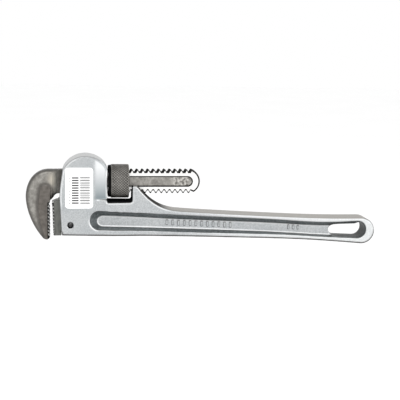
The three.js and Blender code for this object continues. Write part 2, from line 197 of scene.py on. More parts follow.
def surface_net(field, origin, cell):
    """A closed quad mesh where the field is zero: one point per grid cell that it crosses."""
    shape = np.array(field.shape)
    total = np.zeros((field.size, 3))
    count = np.zeros(field.size)
    quads = []
    for axis in range(3):
        low = field[tuple(slice(0, -1) if a == axis else slice(None) for a in range(3))]
        high = field[tuple(slice(1, None) if a == axis else slice(None) for a in range(3))]
        edges = np.argwhere((low < 0) != (high < 0))
        at = tuple(edges.T)
        share = low[at] / (low[at] - high[at])
        point = edges.astype(float)
        point[:, axis] += share
        v = (axis + 1) % 3
        w = (axis + 2) % 3
        ring = []
        for dv, dw in ((-1, -1), (0, -1), (0, 0), (-1, 0)):
            near = edges.copy()
            near[:, v] += dv
            near[:, w] += dw
            index = np.ravel_multi_index(tuple(near.T), tuple(shape))
            ring.append(index)
            for k in range(3):
                total[:, k] += np.bincount(index, point[:, k], field.size)
            count += np.bincount(index, minlength=field.size)
        ring = np.stack(ring, 1)
        backwards = low[at] > 0
        ring[backwards] = ring[backwards][:, ::-1]
        quads.append(ring)
    quads = np.concatenate(quads)
    used, packed = np.unique(quads, return_inverse=True)
    points = total[used] / count[used][:, None] * cell + np.array(origin)
    return points, packed.reshape(-1, 4)


def grid_axes(low, high, cell):
    margin = GRID_MARGIN * cell
    axes = [np.arange(a - margin, b + margin + cell, cell) for a, b in zip(low, high)]
    x = axes[0].reshape(-1, 1, 1)
    y = axes[1].reshape(1, -1, 1)
    z = axes[2].reshape(1, 1, -1)
    return x, y, z


def sculpt(name, field_of, low, high, cell):
    x, y, z = grid_axes(low, high, cell)
    field = field_of(x, y, z) + np.zeros((x.size, y.size, z.size))
    field[np.abs(field) < NEAR_ZERO] = NEAR_ZERO
    origin = (x[0, 0, 0], y[0, 0, 0], z[0, 0, 0])
    points, quads = surface_net(field, origin, cell)
    return mesh_object(name, points, quads.tolist())


# ---- meshes ----
def new_object(name, data):
    obj = bpy.data.objects.new(name, data)
    bpy.context.scene.collection.objects.link(obj)
    return obj


def mesh_object(name, points, faces, slots=None):
    mesh = bpy.data.meshes.new(name)
    mesh.from_pydata((np.asarray(points, float) * MM).tolist(), [], faces)
    if slots is not None:
        mesh.polygons.foreach_set("material_index", slots)
    mesh.update()
    return new_object(name, mesh)


def smooth(obj, degrees=None):
    mesh = obj.data
    mesh.polygons.foreach_set("use_smooth", [True] * len(mesh.polygons))
    if degrees is not None:
        mesh.set_sharp_from_angle(angle=math.radians(degrees))


def paint(obj, name, values):
    """A number for each vertex, which the material reads."""
    attribute = obj.data.attributes.new(name, "FLOAT", "POINT")
    attribute.data.foreach_set("value", np.asarray(values, np.float32))


def vertex_places(obj):
    count = len(obj.data.vertices)
    places = np.zeros(count * 3)
    obj.data.vertices.foreach_get("co", places)
    normals = np.zeros(count * 3)
    obj.data.vertex_normals.foreach_get("vector", normals)
    return places.reshape(-1, 3) / MM, normals.reshape(-1, 3)


def step(value, low, high):
    t = np.clip((value - low) / (high - low), 0, 1)
    return t * t * (3 - 2 * t)


class Plate:
    """A body built up from loops in the side view, each at its own Y."""

    def __init__(self):
        self.points = []
        self.faces = []
        self.slots = []

    def ring(self, loop, y):
        first = len(self.points)
        heights = np.broadcast_to(y, (len(loop),))
        self.points.extend((p[0], h, p[1]) for p, h in zip(loop, heights))
        return list(range(first, len(self.points)))

    def wall(self, lower, upper, slot):
        for i in range(len(lower)):
            j = (i + 1) % len(lower)
            self.faces.append((lower[i], lower[j], upper[j], upper[i]))
            self.slots.append(slot)

    def cap(self, rings, slot, flip):
        loops = [[Vector(self.points[i]) for i in ring] for ring in rings]
        order = [i for ring in rings for i in ring]
        for a, b, c in tessellate_polygon([[Vector((p.x, p.z, 0)) for p in loop] for loop in loops]):
            corners = [order[a], order[b], order[c]]
            p, q, r = (np.array(self.points[i]) for i in corners)
            facing = np.cross(q - p, r - p)[1]
            if abs(facing) < 1e-9:
                continue
            if (facing > 0) != flip:
                corners.reverse()
            self.faces.append(tuple(corners))
            self.slots.append(slot)

    def finish(self, name):
        return mesh_object(name, self.points, self.faces, self.slots)


def inset(loop, distance):
    """Moves an anticlockwise loop's corners inwards, by one distance or by one each."""
    here = np.array(loop)
    ahead = np.roll(here, -1, 0) - here
    ahead /= np.linalg.norm(ahead, axis=1)[:, None]
    behind = np.roll(ahead, 1, 0)
    n0 = np.stack([-behind[:, 1], behind[:, 0]], 1)
    n1 = np.stack([-ahead[:, 1], ahead[:, 0]], 1)
    scale = 1 + np.sum(n0 * n1, 1)
    return here + np.reshape(distance, (-1, 1)) * (n0 + n1) / scale[:, None]


def add_slab(plate, loop, y0, y1, chamfer, slot):
    """An anticlockwise outline given thickness, with chamfered edges."""
    small = inset(loop, chamfer)
    front = plate.ring(small, y0)
    front_edge = plate.ring(loop, y0 + chamfer)
    back_edge = plate.ring(loop, y1 - chamfer)
    back = plate.ring(small, y1)
    plate.wall(front, front_edge, slot)
    plate.wall(front_edge, back_edge, slot)
    plate.wall(back_edge, back, slot)
    plate.cap([front], slot, False)
    plate.cap([back], slot, True)


def rounded_rectangle(left, right, bottom, top, corner, count=5):
    corners = ((right, top, 0), (left, top, 90), (left, bottom, 180), (right, bottom, 270))
    loop = []
    for x, z, turn in corners:
        cx = x - corner if x == right else x + corner
        cz = z - corner if z == top else z + corner
        start = math.radians(turn)
        loop += arc((cx, cz), corner, start, start + math.pi / 2, count)
    return loop


# ---- the casting ----
def casting_outline():
    path = [(-142.3, -34.0)]
    bottom = [path[0], (-60, -35.7), (20, -37.7), (100, -40.5), (161.5, -45.1)]
    path += spline(bottom)
    path += arc((164.4, -32.0), 13.4, -math.pi / 2, math.pi / 2, 28)
    path += spline([path[-1], (120, -18.2), (60, -15.6), (-4, -12), (-27, -10.3)])
    path += bezier(path[-1], (-44, -8.7), (-54.6, -1.1), (-66.4, 13.7), 20)
    path += quadratic(path[-1], (-67.4, 14.9), (-69.5, 14.9))
    path += [(WINDOW[1], 14.9), (WINDOW[1], WINDOW_FLOOR + 2.5)]
    path += quadratic(path[-1], (WINDOW[1], WINDOW_FLOOR), (WINDOW[1] - 2.5, WINDOW_FLOOR))
    path += [(WINDOW[0] + 1.5, WINDOW_FLOOR)]
    path += quadratic(path[-1], (WINDOW[0], WINDOW_FLOOR), (WINDOW[0], WINDOW_FLOOR + 1.5))
    path += [(-97.1, 28.5)]
    path += bezier(path[-1], (-96.9, 38.5), (-108.3, HALF_HEIGHT), (-119.3, HALF_HEIGHT), 18)
    path += bezier(path[-1], (-130.3, HALF_HEIGHT), (-140.8, 37), (-141.8, 28.5), 18)
    path += bezier(path[-1], (-143, 20), (-144.6, 12), (-144.5, 3), 10)
    return path


def pocket_rim():
    """The pocket's edge at the handle's surface, anticlockwise from its left end's top."""
    path = arc((-105.3, -19.3), 9.3, math.pi / 2, 1.5 * math.pi, 20)
    low = [path[-1], (-74, -29.6), (-20, -32), (60, -34.4), (90, -35.6), (120, -37.6), (160, -39.7)]
    path += spline(low)
    path += arc((160, -30.6), 9.1, -math.pi / 2, math.pi / 2, 20)
    path += spline([path[-1], (120, -22.5), (60, -18.6), (-20, -14.9), (-74, -12.2), path[0]])
    return path[:-1]


def pocket_floor():
    """The flat panel of web at the pocket's bottom."""
    path = arc((-101.6, -21.3), 5.7, math.pi / 2, 1.5 * math.pi, 16)
    path += spline([path[-1], (-74, -27.7), (-20, -29.6), (60, -33), (120, -36.8), (160, -38.4)])
    path += arc((160, -32.4), 6.0, -math.pi / 2, math.pi / 2, 16)
    path += spline([path[-1], (120, -26.8), (60, -23.4), (-20, -19.9), (-74, -16.8), path[0]])
    return path[:-1]


def hang_hole_outline():
    path = [(140, -25.8)]
    path += quadratic(path[-1], (131, -26.2), (130.6, -31.2))
    path += quadratic(path[-1], (131, -37.2), (140, -37.8))
    path += [(159, -38.9)]
    path += arc((160, -30.6), 8.4, -math.pi / 2, math.pi / 2.6, 16)
    path += [(158, -25.4)]
    return path


def half_width(x):
    plan = bezier((-104, HOUSING_HALF), (-80, HOUSING_HALF), (-70, HANDLE_HALF), (-46, HANDLE_HALF), 24)
    xs, widths = zip((-104, HOUSING_HALF), *plan)
    return np.interp(x, xs, widths)


POCKET_DEPTH = HANDLE_HALF - WEB_HALF


def pocket_field(x, y, z):
    """The walls run straight from the rim at the surface to the panel's edge at the web."""
    side = np.abs(y)
    deep = np.clip((HANDLE_HALF - side) / POCKET_DEPTH, 0, 1)
    rim = polygon_field(pocket_rim(), x, z)
    panel = polygon_field(pocket_floor(), x, z)
    return both((rim + (panel - rim) * deep) * 0.85, WEB_HALF - side, 1.1)


FACET_FALL = 3.4  # how far the housing's face slopes back beside the window
FACET_RUN = 16.0  # and over what length
FACET_START = -111.0
FACET_END = -94.0
FACET_FLOOR = 1.7


def facet_field(x, y, z):
    slope = math.atan2(FACET_FALL, FACET_RUN)
    beyond = (x - FACET_START) * math.sin(slope) + (np.abs(y) - HOUSING_HALF) * math.cos(slope)
    return np.maximum(np.maximum(-beyond, FACET_FLOOR - z), x - FACET_END)


def pin_bore(x, y, z):
    return np.hypot(x - PIN[0], z - PIN[1]) - PIN_BORE + 0 * y


def casting_field(x, y, z):
    side = np.abs(y)
    body = both(polygon_field(casting_outline(), x, z), side - half_width(x), 1.5)
    body = cut(body, facet_field(x, y, z), 1.1)
    body = cut(body, pocket_field(x, y, z), 0.8)
    hole = np.maximum(polygon_field(hang_hole_outline(), x, z), side - HANG_HOLE_REACH)
    body = cut(body, hole, 0.6)
    tunnel = (-150, WINDOW[0] + 1), (-SHAFT_HALF, SHAFT_HALF), (TUNNEL_FLOOR, TUNNEL_ROOF)
    body = cut(body, box_field(x, y, z, *tunnel), 0.4)
    saddle = (WINDOW[1] - 1, -50), (-SHAFT_HALF, SHAFT_HALF), (4.8, TUNNEL_ROOF)
    body = cut(body, box_field(x, y, z, *saddle), 0.5)
    slot = (-150, HEEL_SLOT_END), (-JAW_HALF - 0.3, JAW_HALF + 0.3), (-30.3, 1.5)
    body = cut(body, box_field(x, y, z, *slot), 0.3)
    neck = (-150, HEEL_SLOT_END), (-SHAFT_HALF, SHAFT_HALF), (0, TUNNEL_FLOOR + 1)
    body = np.maximum(body, -box_field(x, y, z, *neck))
    body = cut(body, pin_bore(x, y, z), 0.3)
    well = np.maximum(np.hypot(x - COIL_X, y) - WELL_RADIUS, np.abs(z - WELL_MIDDLE) - WELL_REACH)
    body = np.maximum(body, -well)
    seat = (-101.6, -98.2), (-5, 5), (-3.6, TUNNEL_FLOOR + 1)
    return np.maximum(body, -box_field(x, y, z, *seat))


# The casting's painted tones: painted shade on the pocket walls, in the hollows and along dark lines,
# painted highlights along edges and on the facet beside the window.
CASTING_TONES = ("wall", "hollow_shade", "light", "facet_highlight", "sweep_shade")


def bump_of(value, middle, width):
    return np.exp(-(((value - middle) / width) ** 2))


def hollow_places(x, y, z, normals):
    """Painted shade, near black: the window, tunnel, pin bore, heel slot, hang hole and the back half of the
    housing's front end.
    """
    side = np.abs(y)
    shaded = 1 - step(np.abs(normals[:, 1]), 0.35, 0.75)
    window = (x > -98.8) & (x < -71.2) & (z < 15.6) & (z > -2.6)
    window |= (x > -99) & (x < -96) & (side < HOUSING_HALF - 4.8) & (np.abs(z - 18) < 21)
    tunnel = (side < SHAFT_HALF + 0.5) & (x < -52) & (z > TUNNEL_FLOOR - 0.6) & (z < TUNNEL_ROOF + 0.6)
    bore = (np.hypot(x - PIN[0], z - PIN[1]) < PIN_BORE + 0.5) & (side < HOUSING_HALF - 0.3)
    slot = (side < JAW_HALF + 0.6) & (x < -125) & (z < 1.8)
    hole = step(-point_field(hang_hole_outline(), x, z), -0.8, -0.1) * 0.8
    hollow_shade = np.maximum(window * shaded, tunnel * shaded)
    hollow_shade = np.maximum(hollow_shade, np.maximum(bore, slot * shaded))
    front_end = step(-normals[:, 0], 0.5, 0.85) * (x < -138) * step(-z, -14, -9)
    hollow_shade = np.maximum(hollow_shade, 0.95 * front_end * (y > 0))
    return np.maximum(hollow_shade, hole * shaded)


def light_places(x, z, side, inner, flat, rim, panel, depth):
    """Painted highlights: bright lines along some edges and a brighter band on the flanges' faces. inner is
    how far a place lies inside the side face.
    """
    near_edge = bump_of(depth, 1.3, 0.5) * step(flat, 0.6, 0.95) * step(inner, -1.6, -0.4)
    left_cheek = step(-x, 124, 132) * step(z, -10, 0)
    slope = step(x, -71, -68) * step(-x, 28, 40) * step(z, -12, -9)
    frame_edge = step(x, -100, -98) * step(-x, 70, 71) * step(z, -6, -3)
    light = near_edge * np.clip(0.7 * left_cheek + 0.6 * slope + 0.3 * frame_edge + 0.1, 0, 1)
    around = bump_of(panel, -0.5, 0.7) * step(-side, -WEB_HALF - 0.8, -WEB_HALF - 0.2)
    outside = 0.7 * step(-z, 13, 22) * bump_of(rim, 0.9, 0.6)
    outside = outside * step(-x, 104, 110) * step(inner, -0.8, -0.2)
    corner = bump_of(x, -97.9, 0.8) * step(z, 2, 5) * step(-z, -34, -28) * step(side, 9, 11)
    light = np.maximum(np.maximum(light, 0.6 * around), np.maximum(outside, corner))
    # Painted highlight: a brighter band on the flanges' faces towards the far end.
    return np.maximum(light, 0.38 * step(x, -40, 50) * step(inner, -0.9, -0.2))


def sweep_places(x, z, inner, normals, depth):
    """Painted shade, dark: the curve beside the post, the crown's rim, the underside's edge and the far end.
    """
    sweep_shade = step(normals[:, 0], 0.12, 0.45) * step(normals[:, 2], 0.1, 0.3) * (x > -71) * (x < -24)
    crown = bump_of(depth, 0.7, 0.6) * step(z, 30, 36) * step(inner, -2.2, -1.2)
    under = (1 - step(depth, 1.2, 2.1)) * step(-normals[:, 2], -0.1, 0.1) * (z < -30)
    end = 0.75 * (1 - step(depth, 0.5, 1.3)) * step(x, 163, 170) * step(inner, -2.5, -1.5)
    return np.maximum(np.maximum(sweep_shade, 0.5 * crown), np.maximum(0.95 * under, end))


def casting_tones(obj):
    """Paints each of CASTING_TONES on the casting: painted shade on the pocket walls, in the hollows and
    along dark lines, painted highlights along edges and on the facet beside the window.
    """
    places, normals = vertex_places(obj)
    x, y, z = places.T
    side = np.abs(y)
    inner = side - half_width(x)
    flat = np.abs(normals[:, 1])
    rim = point_field(pocket_rim(), x, z)
    panel = point_field(pocket_floor(), x, z)
    depth = -point_field(casting_outline(), x, z)
    # Painted shade on the pocket's walls.
    wall = step(-rim, -0.5, 0.2) * step(panel, -0.4, 0.4) * (1 - step(flat, 0.75, 0.97))
    paint(obj, "wall", wall)
    paint(obj, "hollow_shade", hollow_places(x, y, z, normals))
    paint(obj, "light", light_places(x, z, side, inner, flat, rim, panel, depth) * (1 - wall))
    # Painted highlight on the housing's sloping facet beside the window, held back near its upper border.
    leaning = step(normals[:, 0], 0.08, 0.18) * step(flat, 0.8, 0.92)
    border = 1 - step(z, 22, 27) * (1 - step(depth, 1.8, 3.0))
    paint(obj, "facet_highlight", leaning * border * step(z, 1, 2.4) * (x > -112.5) * (x < -97.2))
    paint(obj, "sweep_shade", sweep_places(x, z, inner, normals, depth))


def make_casting():
    low, high = ([v / MM for v in corner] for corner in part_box("handle_housing"))
    obj = sculpt("cast_handle", casting_field, low, high, CASTING_CELL)
    smooth(obj)
    casting_tones(obj)
    obj.data.materials.append(cast_aluminium())
    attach(obj, "handle")
    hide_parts("handle_housing")


BAR_HEIGHT = 1.0  # of the raised bars on the web
BAR_SHADE = 0.7  # how dark the painted shade on their sides is
LONG_BARS = 12
LONG_ROW_START = -37.0
LONG_ROW_SPACING = 5.9
LONG_ROW_LINE = ((-39.0, 30.0), (-22.9, -26.1))  # x and z of the ends of the line it follows
SHORT_ROW = (88.5, 93.5, 98.5)
SHORT_ROW_LINE = ((30, 104), (-26.1, -29.2))


def make_web_bars():
    """Plain raised bars on the web, where the real casting has raised letters, with painted shade on their
    sides.
    """
    plate = Plate()
    for i in range(LONG_BARS):
        x = LONG_ROW_START + i * LONG_ROW_SPACING
        add_bar(plate, x, np.interp(x, *LONG_ROW_LINE), 2.6, 5.6)
    for x in SHORT_ROW:
        add_bar(plate, x, np.interp(x, *SHORT_ROW_LINE), 2.4, 4.6)
    obj = plate.finish("web_bars")
    smooth(obj, 35)
    places, _ = vertex_places(obj)
    # Painted shade on the bars' sides, behind their front face.
    sunk = places[:, 1] > -WEB_HALF - BAR_HEIGHT + 0.1
    for name in CASTING_TONES:
        paint(obj, name, sunk * BAR_SHADE if name == "sweep_shade" else np.zeros(len(places)))
    obj.data.materials.append(cast_aluminium())
    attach(obj, "handle")


def add_bar(plate, x, z, width, height):
    loop = rounded_rectangle(x - width / 2, x + width / 2, z - height / 2, z + height / 2, 0.8, 3)
    add_slab(plate, loop, -WEB_HALF - BAR_HEIGHT, -WEB_HALF + 0.4, 0.55, 0)


# ---- the hook jaw ----
def tooth_points(tip, low, high, side, tip_at_top):
    """Raked teeth up a jaw's face: the hook's point down and the heel's point up."""
    count = math.floor((high - low) / TOOTH_PITCH)
    points = []
    for i in range(count):
        x = tip + (tip_at_top - tip) * i / count
        z = low + i * TOOTH_PITCH
        valley = x + side * TOOTH_DEPTH
        if side < 0:
            points += [(x, z), (x, z + 0.6), (valley, z + 2.6), (valley, z + TOOTH_PITCH - 0.3)]
        else:
            points += [(valley, z), (valley, z + 0.5), (x, z + 2.5), (x, z + 3.1)]
    return points


NECK_END = -116.0


def hook_outline():
    """The forged head and its neck, which runs back into the housing."""
    top = AXIS_Z + CREST
    face = HOOK_FACE - 3.0
    low_x = CAD_BOX[0][0] / MM
    path = [(NECK_END, top), (-155, top)]
    path += bezier(path[-1], (-168, top), (low_x, 19), (low_x, 3.5), 24)
    path += bezier(path[-1], (low_x, -9.5), (-171.3, -26), (-162.5, -36.8), 24)
    path += bezier(path[-1], (-161, -38.8), (-159.6, -40.3), (-157.4, -40.0), 8)
    path += [(face, -39.6), (face, -2.2)]
    path += quadratic(path[-1], (-153, -0.4), (-150.3, 3.2))
    path += quadratic(path[-1], (-148.6, AXIS_Z - CREST), (-145, AXIS_Z - CREST))
    path += [(NECK_END, AXIS_Z - CREST)]
    return path


def pad_outline():
    path = [(HOOK_FACE, -1.9)]
    path += quadratic(path[-1], (-153.4, 6), (-153.2, 9.6))
    path += arc((-158.4, 10.2), 5.3, 0, math.pi, 16)
    path += quadratic(path[-1], (-165.3, 0), (-165.8, -5))
    path += quadratic(path[-1], (-165.6, -18), (-161.8, -28.5))
    path += [(-159.2, -37.0), (-157.2, -39.6), (HOOK_FACE - 1.2, -38.4), (HOOK_FACE - 0.2, -37.0)]
    path += tooth_points(HOOK_FACE, -36.2, -1.9, -1, HOOK_FACE)
    return path


def hook_field(x, y, z):
    side = np.abs(y)
    width = np.interp(x, (-152, -146.5), (HOOK_HALF, SHANK_HALF + 0.05))
    edge = np.interp(x, (-151, -145), (4.2, 0.7))
    head = both(polygon_field(hook_outline(), x, z), side - width, edge)
    pad = both(polygon_field(pad_outline(), x, z), side - JAW_HALF, 0.6)
    return either(head, pad, 0.5)


def make_hook():
    low = (CAD_BOX[0][0] / MM, -JAW_HALF, -41)
    obj = sculpt("forged_jaw", hook_field, low, (NECK_END, JAW_HALF, 31.2), STEEL_CELL)
    smooth(obj)
    places, normals = vertex_places(obj)
    x, y, z = places.T
    rim = point_field(pad_outline(), x, z)
    side = np.abs(y)
    flat = np.abs(normals[:, 1])
    pad = step(side, HOOK_HALF + 0.3, JAW_HALF - 0.1) * step(-rim, -0.3, 0.3)
    # A darker ring round the pad's outline.
    ring = 0.85 * bump_of(rim, 1.0, 2.0) * (1 - pad) * step(side, 4, 6)
    depth = -point_field(hook_outline(), x, z)
    # Painted shade: black on the rounded edges and near the outline, less on the pad.
    edge = np.maximum(1 - step(flat, 0.1, 0.9), 0.75 * (1 - step(depth, 0.5, 5.0))) * (1 - 0.7 * pad)
    # Painted shade, near black, on the teeth.
    teeth = step(x, HOOK_FACE - 3.0, HOOK_FACE - 2.3) * step(-z, 1, 2.2) * (x < HOOK_FACE + 0.3)
    # Painted shade where the neck runs into the housing, added to the dark edges.
    neck = 0.85 * step(x, -150, -144.5)
    # Painted highlight: a lighter sheen on the head's faces near the neck.
    sheen = bump_of(x, -151.5, 4.0) * bump_of(z, 20, 8) * step(flat, 0.5, 0.9)
    paint(obj, "pad", pad)
    paint(obj, "ring", ring)
    paint(obj, "edge", np.maximum(edge, neck))
    # Painted highlight on the teeth's upward faces.
    gleam = teeth * step(normals[:, 2], 0.3, 0.65)
    paint(obj, "teeth", teeth)
    paint(obj, "gleam", gleam)
    paint(obj, "sheen", sheen * (1 - neck))
    obj.data.materials.append(forged_steel())
    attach(obj, "hook")
    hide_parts("hook_jaw")


def rack(first_crest, side, start, end):
    """The shank's teeth from start to end, each a flat crest between two sloping flanks."""
    points = []
    first = math.ceil((start - first_crest) / PITCH)
    last = math.floor((end - first_crest) / PITCH)
    for i in range(first, last + 1):
        x = first_crest + i * PITCH
        for share, radius in ((-0.36, ROOT), (-0.11, CREST), (0.11, CREST), (0.36, ROOT)):
            points.append((x + share * PITCH, side * radius))
    return points


SHANK_LEFT = -117.5
SHANK_END_RADIUS = 12.6
SHANK_END_CENTRE = -16.6
THREAD_START = -104.0
LAST_CREST_LIMIT = SHANK_END_CENTRE + 4.3
BEND_LOW = 10.9  # below the axis, where the bend starts
BEND_TOP = 66.5  # degrees, where it ends
RECESS_MOUTH = (5.5, -112)  # half its height, and its left end
RECESS_FLOOR = (4.25, -111)
RECESS_DEPTH = 1.5


def shank_outline():
    """Anticlockwise, about the shank's own axis, and which of its points are on teeth."""
    last = LAST_CREST_LIMIT
    corner = math.asin(BEND_LOW / SHANK_END_RADIUS)
    bottom = rack(CREST_X + 0.75 * PITCH, -1, THREAD_START, last)
    top = rack(CREST_X + PITCH / 4, 1, THREAD_START, last)[:-1][::-1]  # its last crest meets the bend
    bend = arc((SHANK_END_CENTRE, 0), SHANK_END_RADIUS, -corner, math.radians(BEND_TOP), 28)
    plain_low = [(SHANK_LEFT, -CREST), (THREAD_START, -CREST)]
    plain_high = [(THREAD_START, CREST), (SHANK_LEFT, CREST)]
    path = plain_low + bottom + bend + top + plain_high
    leans = [0] * 2 + [-1] * len(bottom) + [0] * len(bend) + [1] * len(top) + [0] * 2
    return np.array(path), np.array(leans)


def recess_outline(half, left):
    loop = [(left, half), (left, -half)]
    loop += arc((SHANK_END_CENTRE, 0), half, -math.pi / 2, math.pi / 2, 24)
    return np.array(loop)


EDGE_BEVEL = 0.95  # along the upper teeth
END_BEVEL = 1.6  # the broad blued bevel round the shank's end and along its lower teeth, dark also as painted shade


def make_shank():
    ground, black, floor = range(3)
    loop, leans = shank_outline()
    lean = PITCH / (2 * math.pi * CREST)
    plate = Plate()

    def layer(points, y):
        moved = points + np.stack([-lean * y * leans, np.zeros(len(points))], 1)
        return plate.ring(moved + (0, AXIS_Z), y)

    small = inset(loop, np.where(leans == 0, END_BEVEL, EDGE_BEVEL))
    small[leans < 0] = loop[leans < 0] + (0, END_BEVEL)
    rings = [layer(small, -SHANK_HALF), layer(loop, -SHANK_HALF + EDGE_BEVEL)]
    rings += [layer(loop, SHANK_HALF - EDGE_BEVEL), layer(small, SHANK_HALF)]
    # Sides, chamfers and teeth flanks: blued, and dark as painted shade as well.
    for lower, upper in zip(rings, rings[1:]):
        plate.wall(lower, upper, black)
    for side in (-1, 1):
        mouth = plate.ring(recess_outline(*RECESS_MOUTH) + (0, AXIS_Z), side * SHANK_HALF)
        base = plate.ring(recess_outline(*RECESS_FLOOR) + (0, AXIS_Z), side * (SHANK_HALF - RECESS_DEPTH))
        plate.cap([rings[0] if side < 0 else rings[-1], mouth], ground, side > 0)
        plate.wall(mouth, base, black)
        plate.cap([base], floor, side > 0)
    obj = plate.finish("jaw_shank")
    tidy_normals(obj)
    smooth(obj, 28)
    for material in (ground_steel(), black_edge(), recess_steel()):
        obj.data.materials.append(material)
    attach(obj, "hook")
    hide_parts("hook_jaw")


def tidy_normals(obj):
    work = bmesh.new()
    work.from_mesh(obj.data)
    bmesh.ops.recalc_face_normals(work, faces=work.faces)
    work.to_mesh(obj.data)
    work.free()


# ---- the nut ----
NUT_RADIUS = 16.9
COLLAR_RADIUS = 16.1
COLLAR_LENGTH = 2.7
NUT_BEVEL = 0.7
BORE_VALLEY = 13.4  # radius over the shank's crests
BORE_CREST = 10.95  # radius over its valleys
BORE_MOUTH = 14.2
VALLEY_END = 0.21  # shares of the pitch from a crest, between which the bore narrows
CREST_START = 0.46
DIAMONDS = 38  # round the nut
PER_DIAMOND = 12  # mesh points across each
KNURL_PITCH = 2.8  # of the diamonds, along the axis
KNURL_DEPTH = 0.5


def thread_radius(x, turn):
    phase = (x - CREST_X) / PITCH - turn
    from_crest = np.abs(phase - np.round(phase))
    fall = np.clip((from_crest - VALLEY_END) / (CREST_START - VALLEY_END), 0, 1)
    return BORE_VALLEY + (BORE_CREST - BORE_VALLEY) * fall


def knurl(x, turn, left, right):
    across = turn * DIAMONDS
    along = (x - left) / KNURL_PITCH
    first = np.abs(2 * ((across + along) % 1) - 1)
    second = np.abs(2 * ((across - along) % 1) - 1)
    groove = np.clip((np.maximum(first, second) - 0.35) / 0.65, 0, 1)
    fade = np.clip(np.minimum(x - left, right - x) / 0.8, 0, 1)
    return groove * fade


def nut_rows(left, right):
    """Rows round the nut's skin and back through its bore: x, radius at each turn, and shade."""
    turns = np.arange(DIAMONDS * PER_DIAMOND) / (DIAMONDS * PER_DIAMOND)
    rows = []
    plain = np.ones(len(turns))
    start = left + COLLAR_LENGTH + 0.5
    collar = ((left, NUT_BEVEL), (left + NUT_BEVEL, 0), (left + COLLAR_LENGTH, 0))
    for x, bevel in collar:
        rows.append((x, (COLLAR_RADIUS - bevel) * plain, 0 * plain))
    for x in np.arange(start, right - 0.5, KNURL_PITCH / PER_DIAMOND):
        groove = knurl(x, turns, start, right - 0.5)
        rows.append((x, NUT_RADIUS - KNURL_DEPTH * groove, (1 - groove) ** 2))
    for radius in (NUT_RADIUS - NUT_BEVEL, BORE_MOUTH):
        rows.append((right, radius * plain, 0 * plain))
    for x in np.linspace(right - NUT_BEVEL, left + NUT_BEVEL, 40):
        rows.append((x, thread_radius(x, turns), 0 * plain))
    rows.append((left, BORE_MOUTH * plain, 0 * plain))
    return turns, rows


def make_nut():
    low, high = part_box("adjusting_nut")
    turns, rows = nut_rows(low[0] / MM, high[0] / MM)
    points = []
    tone = []
    for x, radius, shade in rows:
        angle = 2 * math.pi * turns
        ring = np.stack([x + 0 * angle, radius * np.cos(angle), AXIS_Z + radius * np.sin(angle)], 1)
        points.append(ring)
        tone.append(shade)
    count = len(turns)
    faces = []
    for i in range(len(rows)):
        here = i * count
        after = (i + 1) % len(rows) * count
        for j in range(count):
            k = (j + 1) % count
            faces.append((here + j, here + k, after + k, after + j))
    obj = mesh_object("knurled_nut", np.concatenate(points), faces)
    tidy_normals(obj)
    smooth(obj, 20)
    paint(obj, "top", np.concatenate(tone))
    places, _ = vertex_places(obj)
    end = low[0] / MM + COLLAR_LENGTH
    # Painted shade, near black, on the collar and the underside.
    below = step(AXIS_Z - places[:, 2], 0.86 * NUT_RADIUS, 0.95 * NUT_RADIUS)
    paint(obj, "collar", np.maximum(1 - step(places[:, 0], end + 0.1, end + 0.7), below))
    # Painted highlight in the nut's middle.
    middle_highlight = bump_of(places[:, 0], -85, 6) * bump_of(places[:, 2], AXIS_Z + 1, 10)
    paint(obj, "middle_highlight", 0.6 * middle_highlight)
    obj.data.materials.append(blackened_steel())
    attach(obj, "nut")
    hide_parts("adjusting_nut")


# ---- the heel jaw ----
def heel_outline():
    top = -152.2
    path = [(-142.7, -35.3), (-144.9, 0.4), (-148.4, -0.4), (top + 0.4, -1.9)]
    return path + tooth_points(-151.2, -34.7, -2.4, 1, top)[::-1] + [(-150.9, -34.9), (-150.9, -35.3)]


def heel_field(x, y, z):
    side = np.abs(y)
    head = both(polygon_field(heel_outline(), x, z), side - JAW_HALF, 0.4)
    tenon = box_field(x, y, z, (-145.9, -126), (-JAW_HALF, JAW_HALF), (-30, 1.2))
    return cut(np.minimum(head, tenon), pin_bore(x, y, z), 0.2)


def make_heel():
    low, high = ([v / MM for v in corner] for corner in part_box("heel_jaw"))
    obj = sculpt("serrated_heel", heel_field, low, high, STEEL_CELL)
    smooth(obj, 40)
    places, normals = vertex_places(obj)
    # Painted shade, near black, on the teeth; painted highlight on their upward faces.
    teeth = step(-places[:, 0], 149.6, 150.6) * step(-places[:, 2], 0.5, 1.6)
    paint(obj, "teeth", teeth)
    paint(obj, "gleam", teeth * step(normals[:, 2], 0.3, 0.65))
    obj.data.materials.append(hardened_steel())
    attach(obj, "handle")
    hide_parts("heel_jaw")


# ---- the coil spring under the leaf ----
COIL_RADIUS = 3.4
COIL_WIRE = 0.6  # the wire's radius
COIL_GAP = 0.05  # above and below it
COIL_TURNS = 5.5
COIL_STEPS = 20  # along each turn
WIRE_SIDES = 10


